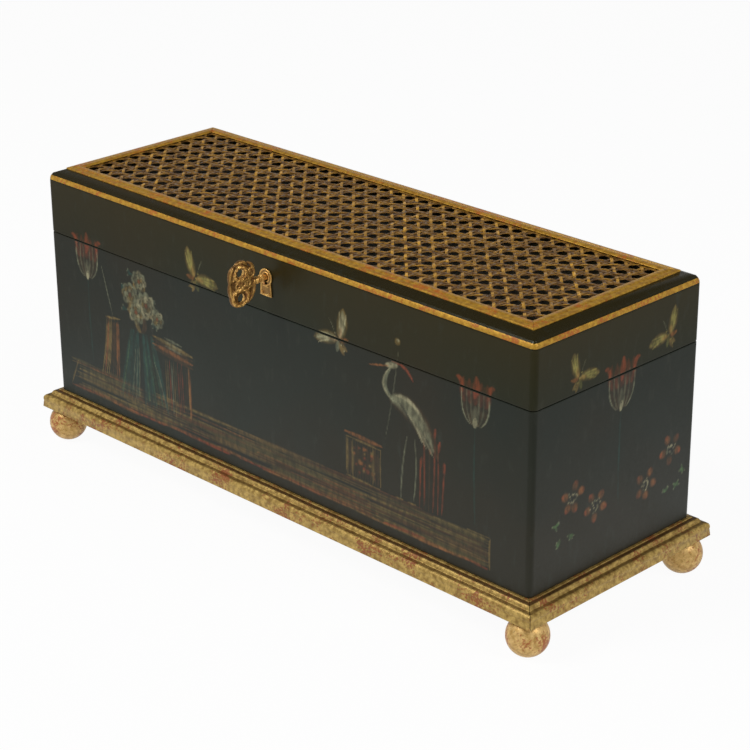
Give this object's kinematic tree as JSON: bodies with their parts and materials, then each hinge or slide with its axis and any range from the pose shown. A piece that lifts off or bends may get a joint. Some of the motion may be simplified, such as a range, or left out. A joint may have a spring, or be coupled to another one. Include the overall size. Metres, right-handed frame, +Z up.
{
  "type": "lacquered box",
  "caption": "Long lacquered wooden box on gilt ball feet, with a moulded gilt base, a hinged lid with a framed cane panel, a lock in the lid and an ornate key.",
  "frame": {"origin": "on the floor, under the middle of the whole box with its key in the lock", "axes": "+X along the box to the right as seen from the front, +Y to the back, where the hinges are, +Z up"},
  "size_m": [0.5036, 0.2104, 0.2206],
  "materials": {
    "lacquer": "satin gloss lacquer",
    "gilt": "worn gilding on wood",
    "cane": "woven cane, gilded and worn",
    "brass": "dull",
    "cast_brass": "aged casting",
    "steel": "dull"
  },
  "bodies": {
    "case": {"case_front_wall": "lacquer", "case_back_wall": "lacquer", "case_left_wall": "lacquer", "case_right_wall": "lacquer", "bottom_board": "lacquer", "base_moulding_front": "gilt", "base_moulding_back": "gilt", "base_moulding_left": "gilt", "base_moulding_right": "gilt", "foot_front_left": "gilt", "foot_front_right": "gilt", "foot_back_left": "gilt", "foot_back_right": "gilt", "hinge_left_case_leaf": "brass", "hinge_right_case_leaf": "brass", "hinge_left_pin": "brass", "hinge_right_pin": "brass", "hinge_case_screws": "brass", "lock_link": "brass", "lock_link_screws": "brass"},
    "lid": {"lid_front_wall": "lacquer", "lid_back_wall": "lacquer", "lid_left_wall": "lacquer", "lid_right_wall": "lacquer", "lid_board": "lacquer", "lid_moulding_front": "lacquer", "lid_moulding_back": "lacquer", "lid_moulding_left": "lacquer", "lid_moulding_right": "lacquer", "cane_frame_front": "gilt", "cane_frame_back": "gilt", "cane_frame_left": "gilt", "cane_frame_right": "gilt", "cane_panel": "cane", "hinge_left_lid_leaf": "brass", "hinge_right_lid_leaf": "brass", "hinge_lid_screws": "brass", "lock_plate": "brass", "lock_cap": "brass", "lock_screws": "brass", "escutcheon": "cast_brass", "escutcheon_pins": "cast_brass"},
    "key_barrel": {"lock_barrel": "brass"},
    "bolt": {"lock_bolt": "steel"},
    "key": {"key": "cast_brass"}
  },
  "joints": [
    {"name": "lid_hinge", "type": "hinge", "parent": "case", "child": "lid", "pos_m": [0, 0.09635, 0.1702], "axis": [-1, 0, 0], "range_deg": [0, 100]},
    {"name": "key_turn", "type": "hinge", "parent": "lid", "child": "key_barrel", "pos_m": [0, -0.06055, 0.196], "axis": [0, 1, 0], "range_deg": [0, 90]},
    {"name": "bolt_throw", "type": "slide", "parent": "lid", "child": "bolt", "axis": [1, 0, 0], "range_m": [0, 0.00637]},
    {"name": "key_withdraw", "type": "slide", "parent": "key_barrel", "child": "key", "axis": [0, -1, 0], "range_m": [0, 0.03]}
  ],
  "couplings": [
    {"joint": "bolt_throw", "follows": "key_turn", "m_per_rad": 0.0040514}
  ]
}
